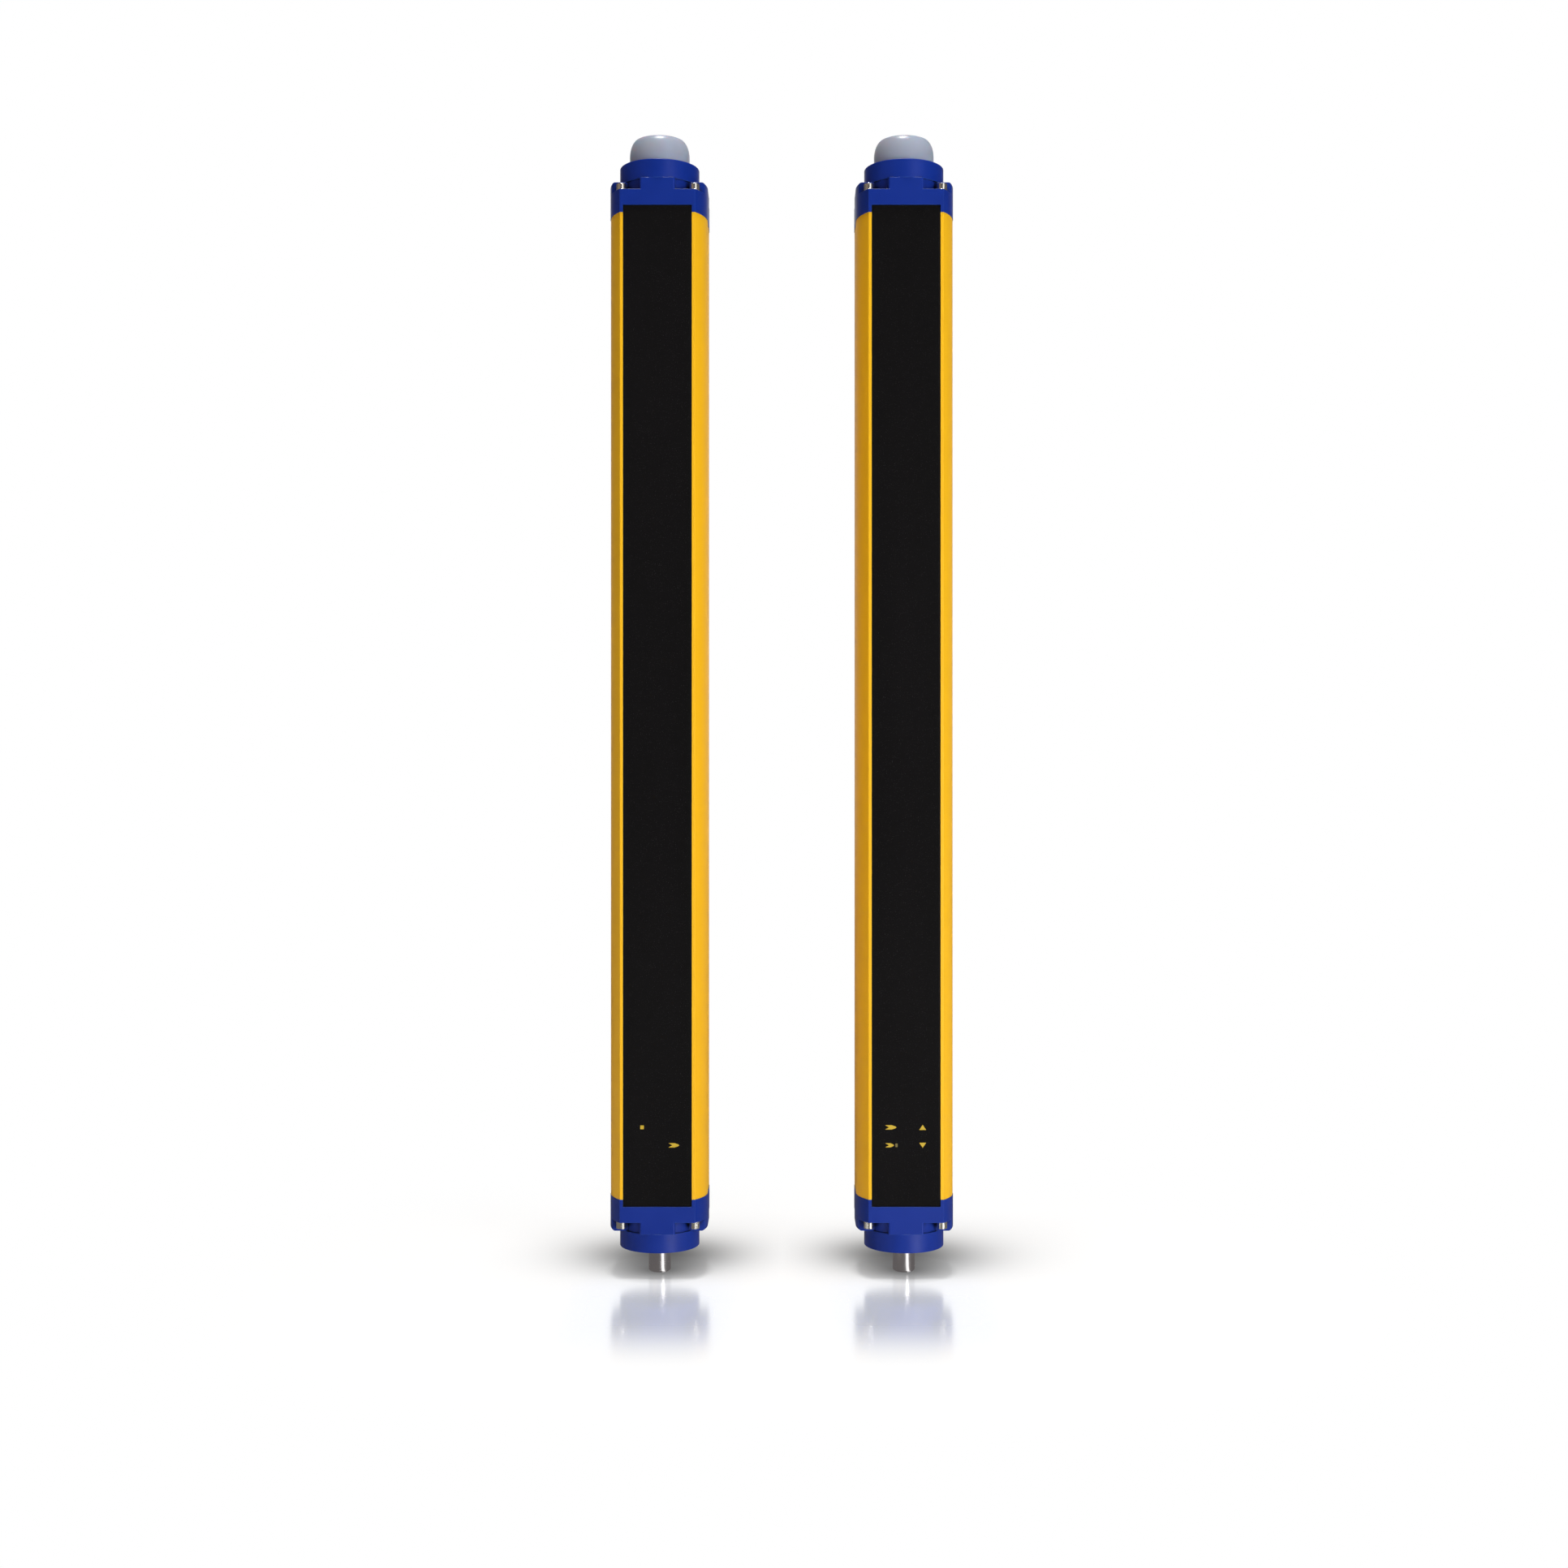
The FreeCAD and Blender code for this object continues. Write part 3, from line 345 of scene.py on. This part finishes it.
def bright_steel():
    """Cold-headed stainless steel screws, slightly scuffed round the socket."""
    steel = Finish("bright steel")
    scuff = steel.noise(900.0, 3.0)
    swirl = steel.noise(3000.0, 1.0, (1.0, 1.0, 0.1))
    edge = steel.edges(0.15 * MM)
    color = steel.blend(scuff, linear(206, 202, 190), linear(228, 225, 216))
    color = steel.blend(edge * 0.5, color, linear(240, 238, 232))
    rough = steel.clamped(0.18 + 0.14 * scuff)
    normal = steel.bumped(swirl * 0.6 + scuff * 0.4, 0.005 * MM, steel.softened(0.12 * MM))
    return steel.surface(color, rough, normal, Metallic=1.0)


def black_moulding():
    """Moulded plastic with a fine grain, dark grey on its edges."""
    plastic = Finish("black moulding")
    cloud = plastic.noise(120.0, 2.0)
    grain = plastic.noise(4000.0, 2.0)
    edge = plastic.edges(0.2 * MM)
    color = plastic.blend(cloud, linear(24, 24, 25), linear(34, 34, 35))
    color = plastic.blend(edge * 0.3, color, linear(70, 70, 72))
    normal = plastic.bumped(grain, 0.02 * MM, plastic.softened(0.15 * MM))
    return plastic.surface(color, plastic.clamped(0.42 + 0.15 * cloud), normal)


def soft_rubber():
    """Matt rubber with a faint grey bloom."""
    rubber = Finish("soft rubber")
    cloud = rubber.noise(200.0, 3.0)
    bloom = rubber.ramp(rubber.noise(1500.0, 2.0), 0.55, 0.8)
    color = rubber.blend(cloud, linear(26, 26, 26), linear(38, 37, 36))
    color = rubber.blend(bloom * 0.2, color, linear(84, 82, 78))
    normal = rubber.bumped(bloom, 0.03 * MM, rubber.softened(0.15 * MM))
    return rubber.surface(color, rubber.clamped(0.66 + 0.15 * cloud), normal)


def solder_mask():
    """Green lacquer over a board, with the tracks just showing."""
    board = Finish("solder mask")
    weave = board.noise(1400.0, 1.0)
    tracks = board.node("ShaderNodeTexBrick", Vector=board.place(), Scale=160.0)
    lines = Value(board, tracks.outputs["Fac"])
    color = board.blend(weave, linear(18, 92, 48), linear(26, 112, 60))
    color = board.blend(lines * 0.35, color, linear(50, 140, 84))
    normal = board.bumped(lines * 0.7 + weave * 0.3, 0.03 * MM, board.softened(0.1 * MM))
    return board.surface(color, board.clamped(0.24 + 0.12 * weave), normal)


def clear_acrylic():
    """Clear moulded lenses and light pipes."""
    lens = Finish("clear acrylic")
    cloud = lens.noise(300.0, 2.0)
    color = lens.blend(cloud, linear(214, 220, 224), linear(232, 236, 238))
    normal = lens.bumped(cloud, 0.005 * MM, lens.softened(0.1 * MM))
    rough = lens.clamped(0.05 + 0.08 * cloud)
    return lens.surface(color, rough, normal, Transmission_Weight=0.8)


def white_lamp_body():
    """Small lamps: a white body with a yellow cast in the middle."""
    body = Finish("white lamp body")
    cloud = body.noise(800.0, 2.0)
    centre = body.cells(300.0)
    color = body.blend(cloud, linear(222, 220, 206), linear(240, 238, 228))
    color = body.blend(body.ramp(centre, 0.2, 0.5) * 0.2, color, linear(214, 196, 90))
    normal = body.bumped(cloud, 0.01 * MM, body.softened(0.1 * MM))
    return body.surface(color, body.clamped(0.3 + 0.1 * cloud), normal)


def gold_flash():
    """Thin gold over turned contacts."""
    gold = Finish("gold flash")
    smear = gold.noise(900.0, 2.0)
    color = gold.blend(smear, linear(212, 168, 84), linear(232, 192, 110))
    normal = gold.bumped(smear, 0.004 * MM, gold.softened(0.08 * MM))
    return gold.surface(color, gold.clamped(0.18 + 0.12 * smear), normal, Metallic=1.0)


def grey_insulation():
    """Dull grey sheath of the leads inside."""
    lead = Finish("grey insulation")
    cloud = lead.noise(400.0, 3.0)
    color = lead.blend(cloud, linear(92, 93, 96), linear(116, 117, 120))
    normal = lead.bumped(cloud, 0.03 * MM, lead.softened(0.1 * MM))
    return lead.surface(color, lead.clamped(0.5 + 0.15 * cloud), normal)


def mark_ink(name, color_low, color_high):
    """Screen-printed ink, a little thin and uneven."""
    ink = Finish(name)
    mottle = ink.noise(2200.0, 2.0)
    pinholes = ink.ramp(ink.noise(5200.0, 0.0), 0.72, 0.78)
    color = ink.blend(mottle, color_low, color_high)
    color = ink.blend(pinholes * 0.3, color, linear(30, 28, 16))
    normal = ink.bumped(mottle, 0.01 * MM, ink.softened(0.05 * MM))
    return ink.surface(color, ink.clamped(0.36 + 0.15 * mottle), normal)


SLOT_FINISHES = {
    "yellow_coating": yellow_powder_coat,
    "black_window": black_acrylic,
    "blue_moulding": blue_nylon,
    "milky_dome": milky_polycarbonate,
    "plated_metal": nickel_plate,
    "screw_steel": bright_steel,
    "black_moulding": black_moulding,
    "black_rubber": soft_rubber,
    "green_board": solder_mask,
    "clear_acrylic": clear_acrylic,
    "white_component": white_lamp_body,
    "gold_contacts": gold_flash,
    "grey_lead": grey_insulation,
}


def dress_frame():
    """Gives each sub-part the finish of its material slot."""
    finishes = {slot: make() for slot, make in SLOT_FINISHES.items()}
    for part in frame["record"]["subparts"]:
        node = frame["nodes"][part["node"]]
        node.data.materials.clear()
        node.data.materials.append(finishes[part["material_slot"]])


# ---- marks on the windows ---------------------------------------------------
INK_THICKNESS = 0.06 * MM
MARK_CORNER = 0.24 * MM
UPPER_ROW = 42.0 * MM       # above the window's lower end
LOWER_ROW = 32.5 * MM
LEFT_OF_MIDDLE = -8.1 * MM
RIGHT_OF_MIDDLE = 8.8 * MM
ARROW_HEAD = 2.6 * MM       # length of the rounded point
ARROW_NOTCH = 2.0 * MM      # depth of the notch in the tail
SHORT_ARROW_HEAD = 2.0 * MM
ARROW_SHOULDER = 0.7        # how much of the head is left half-way up
TRIANGLE = (3.7 * MM, 2.7 * MM)
SAME_PLACE = 0.01 * MM
SAME_SLOPE = math.radians(1.0)


def begin(name):
    """Names the new primitive and leaves it alone in edit mode, in vertex mode."""
    piece = bpy.context.active_object
    piece.name = name
    bpy.ops.object.mode_set(mode="EDIT")
    bpy.context.tool_settings.mesh_select_mode = (True, False, False)
    return piece


def pick(piece, test):
    """Selects just the vertices that pass a test on their place."""
    bpy.ops.mesh.select_all(action="DESELECT")
    bpy.ops.object.mode_set(mode="OBJECT")
    for vertex in piece.data.vertices:
        vertex.select = test(vertex.co)
    bpy.ops.object.mode_set(mode="EDIT")


def thicken(piece):
    """Gives a flat outline the ink's thickness towards the front."""
    bpy.ops.mesh.select_all(action="SELECT")
    bpy.ops.mesh.extrude_region_move(
        TRANSFORM_OT_translate={"value": (0.0, -INK_THICKNESS, 0.0)}
    )
    bpy.ops.mesh.select_all(action="SELECT")
    bpy.ops.mesh.normals_make_consistent(inside=False)
    bpy.ops.object.mode_set(mode="OBJECT")
    return piece


def upright_plane(name, x, y, z, width, height):
    """A flat sheet that faces the front, with its place and size in its mesh."""
    bpy.ops.object.select_all(action="DESELECT")
    bpy.ops.mesh.primitive_plane_add(
        size=1.0, location=(x, y, z), rotation=(math.pi / 2, 0.0, 0.0)
    )
    bpy.ops.transform.resize(value=(width, 1.0, height))
    bpy.ops.object.transform_apply(location=True, rotation=True, scale=True)
    return begin(name)


def arrow(name, x, y, z, length, height, head):
    """A band with a notch in its left end and a rounded point at its right end."""
    cuts = 3
    steps = cuts + 1
    band = upright_plane(name, x - head / 2, y, z, length - head, height)
    left = x - length / 2
    step = (length - head) / steps
    bpy.ops.mesh.select_all(action="SELECT")
    bpy.ops.mesh.subdivide(number_cuts=cuts)
    for level, share in ((0.0, 1.0), (height / 4, ARROW_SHOULDER)):
        for column in range(steps, -1, -1):
            place = left + column * step
            cut = ARROW_NOTCH * (1.0 - 2.0 * level / height)
            shift = cut + (head * share - cut) * column / steps
            pick(
                band,
                lambda co: abs(co.x - place) < SAME_PLACE
                and abs(abs(co.z - z) - level) < SAME_PLACE,
            )
            bpy.ops.transform.translate(value=(shift, 0.0, 0.0))
    bpy.ops.mesh.select_all(action="SELECT")
    bpy.ops.mesh.dissolve_limited(angle_limit=SAME_SLOPE)
    return thicken(band)


def triangle(name, x, y, z, width, height, points_up):
    """A triangle whose box is centred on its place."""
    flip = 1.0 if points_up else -1.0
    bpy.ops.object.select_all(action="DESELECT")
    bpy.ops.mesh.primitive_circle_add(
        vertices=3, radius=1.0, fill_type="NGON", rotation=(math.pi / 2, 0.0, 0.0),
        location=(x, y, z - flip * height / 6),
    )
    bpy.ops.transform.resize(value=(width / math.sqrt(3), 1.0, flip * height / 1.5))
    bpy.ops.object.transform_apply(location=True, rotation=True, scale=True)
    return thicken(begin(name))


def square(name, x, y, z, width, height):
    """A patch with its corners rounded."""
    patch = upright_plane(name, x, y, z, width, height)
    bpy.ops.mesh.select_all(action="SELECT")
    bpy.ops.mesh.bevel(offset=MARK_CORNER, segments=3, affect="VERTICES")
    return thicken(patch)


def window_places(column):
    """The marks' left and right places, the window's face, and the two rows."""
    low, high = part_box(f"{column}_window")
    middle = (low[0] + high[0]) / 2
    return (
        middle + LEFT_OF_MIDDLE, middle + RIGHT_OF_MIDDLE, low[1],
        low[2] + UPPER_ROW, low[2] + LOWER_ROW,
    )


def emitter_marks():
    left, right, face, upper, lower = window_places("emitter")
    return [
        square("emitter_mark_power", left, face, upper, 1.9 * MM, 2.0 * MM),
        arrow("emitter_mark_beam", right, face, lower, 5.8 * MM, 2.3 * MM, ARROW_HEAD),
    ]


def receiver_marks():
    left, right, face, upper, lower = window_places("receiver")
    return [
        arrow("receiver_mark_clear", left, face, upper, 6.0 * MM, 2.3 * MM, ARROW_HEAD),
        arrow(
            "receiver_mark_blocked", left - 0.6 * MM, face, lower,
            4.7 * MM, 2.2 * MM, SHORT_ARROW_HEAD,
        ),
        square("receiver_mark_bar", left + 3.0 * MM, face, lower, 1.2 * MM, 1.9 * MM),
        triangle("receiver_mark_up", right, face, upper, *TRIANGLE, points_up=True),
        triangle("receiver_mark_down", right, face, lower, *TRIANGLE, points_up=False),
    ]


def print_marks():
    """Prints the marks, all bright but the bar after the receiver's lower arrow."""
    bright = mark_ink("yellow ink", linear(178, 148, 24), linear(196, 166, 36))
    dim = mark_ink("dim yellow ink", linear(96, 86, 40), linear(118, 106, 52))
    for piece in emitter_marks() + receiver_marks():
        piece.data.materials.append(dim if piece.name == "receiver_mark_bar" else bright)
        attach(piece, "root")


# ---- studio -----------------------------------------------------------------
FLOOR_SIZE = 8.0
FLOOR_SETBACK = 1.5
FLOOR_DROP = 0.1 * MM                       # under the feet
# Painted shadow: the floor's colour is darkened behind and round each foot.
SHADE = 0.88                                # behind each foot
SHADE_SETBACK = 36.0 * MM
SHADE_REACH = 43.0 * MM
CONTACT_SHADE = 0.8                         # close round each foot
CONTACT_REACH = 30.0 * MM
SHEEN = 0.50                                # in front of each foot
SHEEN_START = (5.0 * MM, 65.0 * MM)
SHEEN_END = (90.0 * MM, 185.0 * MM)
SHEEN_SIDES = (28.0 * MM, 52.0 * MM)
# Painted reflection: the paper under the sheen is given a cool tint.
SHEEN_GAIN = 1.6                            # of its cool tint
EVEN_SHARE = 0.7                            # of the floor's look, which no lamp changes
EVEN_STRENGTH = 1.06
PURE_WHITE = (110.0 * MM, 280.0 * MM)       # away from each foot
# Painted highlight: one bright strip in the floor as metal mirrors it.
FLOOR_STRIP = ((0.28, 0.40), (0.75, 0.95))  # steps aside for each step to the front
FLOOR_STRIP_START = (0.0, 10.0 * MM)
# Painted highlight: one bright strip in the world as metal mirrors it.
WORLD_STRIP = ((0.28, 0.36), (0.58, 0.66))  # to the right, along a direction of length 1
WORLD_STRIP_END = (-0.3, 0.0)               # to the back
BACKDROP = (0.78, 0.92)                     # to the back
WARM_SIDE = (-0.7, 0.1)                     # from the left to the middle
AMBIENT = 0.11
CAMERA_HEIGHT = 263.0 * MM
CAMERA_DISTANCE = 1.03                      # from the columns' front
CAMERA_ASIDE = 1.2 * MM
SENSOR_WIDTH = 36.0                         # in millimetres, as is the lens
LENS = 44.58
SOFTBOXES = (
    # name, place, aim, width, height, watts, colour
    ("key softbox", (0.82, -1.12, 0.15), (0.0, 0.0, 0.22), 0.3, 0.5, 16.4, (1.0, 1.0, 1.0)),
    ("fill softbox", (-1.1, -0.85, 0.25), (0.0, 0.0, 0.22), 1.6, 1.6, 2.0, (1.0, 0.72, 0.46)),
    ("overhead softbox", (-0.04, -0.27, 3.0), (0.0, 0.0, 0.0), 0.5, 0.5, 86.0, (1.0, 1.0, 1.0)),
)


def floor_paper():
    """White paper with a painted shade and a sheen at each foot, a painted cool tint under the sheen,
    and, as metal mirrors it, dim with one painted highlight strip.
    """
    paper = Finish("floor paper")
    plug_low, plug_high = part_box("receiver_plug_shell")
    across = paper.along(0)
    aside = across - paper.maths("SIGN", across) * ((plug_low[0] + plug_high[0]) / 2)
    front = 0.0 - paper.along(1)
    from_foot = (aside * aside + front * front) ** 0.5

    # A painted shadow behind each foot and a painted contact shade round it.
    sideways = aside / SHADE_REACH
    backwards = (front + SHADE_SETBACK) / SHADE_REACH
    behind = SHADE * paper.maths("EXPONENT", 0.0 - sideways * sideways - backwards * backwards)
    contact = CONTACT_SHADE * paper.clamped(1.0 - from_foot / CONTACT_REACH)
    shade = 1.0 - (1.0 - behind) * (1.0 - contact)
    sheen = SHEEN * paper.between(front, SHEEN_START, SHEEN_END)
    sheen = sheen * (1.0 - paper.ramp(paper.maths("ABSOLUTE", aside), *SHEEN_SIDES))

    clean = paper.blend(paper.noise(500.0, 2.0), grey(0.92), grey(0.94))
    # Painted reflection colour: the paper under the sheen is tinted cool blue.
    clean = paper.blend(SHEEN_GAIN * sheen, clean, (0.86, 0.90, 1.0, 1.0))
    tone = paper.blend(shade, clean, grey(0.04))
    matte = paper.shader(
        "ShaderNodeBsdfPrincipled", Base_Color=tone, Roughness=0.8, Specular_IOR_Level=0.0
    )
    # Glows with the floor's tone, painted shadow and all, for most of its look.
    even = paper.shader("ShaderNodeEmission", Color=tone, Strength=EVEN_STRENGTH)
    shine = paper.shader("ShaderNodeBsdfAnisotropic", Color=WHITE, Roughness=0.16)
    white = paper.shader("ShaderNodeEmission", Color=WHITE, Strength=1.0)

    # Painted reflection: as metal mirrors it, the floor is dim with one bright strip.
    strip = paper.between(aside / front, *FLOOR_STRIP) * paper.ramp(front, *FLOOR_STRIP_START)
    reflected = paper.blend(strip * paper.first_mirroring(), (0.20, 0.19, 0.19, 1.0), grey(2.0))
    mirror = paper.shader("ShaderNodeEmission", Color=reflected, Strength=1.0)

    seen = paper.light_path("Is Camera Ray")
    sheet = paper.mixed(EVEN_SHARE * seen, matte, even)
    sheet = paper.mixed(sheen, sheet, shine)
    sheet = paper.mixed(seen * paper.ramp(from_foot, *PURE_WHITE), sheet, white)
    sheet = paper.mixed(paper.light_path("Is Glossy Ray"), sheet, mirror)
    paper.output(sheet)
    return paper.owner


def lay_floor():
    """A wide sheet, farther behind the columns than in front of them."""
    bpy.ops.object.select_all(action="DESELECT")
    bpy.ops.mesh.primitive_plane_add(
        size=FLOOR_SIZE, location=(0.0, FLOOR_SETBACK, cad_bounds[0][2] - FLOOR_DROP)
    )
    bpy.ops.object.transform_apply(location=True)
    floor = bpy.context.active_object
    floor.name = "studio_floor"
    floor.data.materials.append(floor_paper())


def set_world():
    """White as it is seen, dim with one painted highlight strip as metal mirrors it, and a low light,
    warm on the left.
    """
    world = bpy.data.worlds.new("studio")
    bpy.context.scene.world = world
    room = Finish("studio", world)
    direction = room.node("ShaderNodeTexCoord").outputs["Generated"]
    split = room.node("ShaderNodeSeparateXYZ", Vector=direction)
    across = Value(room, split.outputs[0])
    back = Value(room, split.outputs[1])

    # Painted reflection: metal mirrors a dim room with one bright strip.
    strip = room.between(across, *WORLD_STRIP) * (1.0 - room.ramp(back, *WORLD_STRIP_END))
    sides = room.blend(strip * room.first_mirroring(), (0.11, 0.10, 0.11, 1.0), grey(1.9))
    reflected = room.blend(room.ramp(back, *BACKDROP), sides, WHITE)
    light = room.blend(room.ramp(across, *WARM_SIDE), (1.0, 0.70, 0.42, 1.0), WHITE)

    ambient = room.shader("ShaderNodeBackground", Color=light, Strength=AMBIENT)
    mirror = room.shader("ShaderNodeBackground", Color=reflected, Strength=1.0)
    white = room.shader("ShaderNodeBackground", Color=WHITE, Strength=1.0)
    lit = room.mixed(room.light_path("Is Glossy Ray", "Is Transmission Ray"), ambient, mirror)
    lit = room.mixed(room.light_path("Is Camera Ray"), lit, white)
    room.output(lit, "ShaderNodeOutputWorld")


def softbox(name, place, aim, width, height, watts, color):
    """A rectangular lamp that faces the point it is aimed at."""
    lamp = bpy.data.lights.new(name, "AREA")
    lamp.shape = "RECTANGLE"
    lamp.size = width
    lamp.size_y = height
    lamp.energy = watts
    lamp.color = color
    stand = bpy.data.objects.new(name, lamp)
    bpy.context.scene.collection.objects.link(stand)
    stand.location = place
    facing = Vector(aim) - Vector(place)
    stand.rotation_euler = facing.to_track_quat("-Z", "Y").to_euler()


def set_camera():
    """Level, in front of the gap between the columns, below their middle."""
    camera = bpy.data.cameras.new("camera")
    camera.sensor_width = SENSOR_WIDTH
    camera.lens = LENS
    stand = bpy.data.objects.new("camera", camera)
    bpy.context.scene.collection.objects.link(stand)
    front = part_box("emitter_profile")[0][1]
    stand.location = (CAMERA_ASIDE, front - CAMERA_DISTANCE, CAMERA_HEIGHT)
    stand.rotation_euler = (math.pi / 2, 0.0, 0.0)
    bpy.context.scene.camera = stand


dress_frame()
print_marks()
lay_floor()
set_world()
for settings in SOFTBOXES:
    softbox(*settings)
set_camera()
bpy.context.scene.view_settings.view_transform = "Standard"
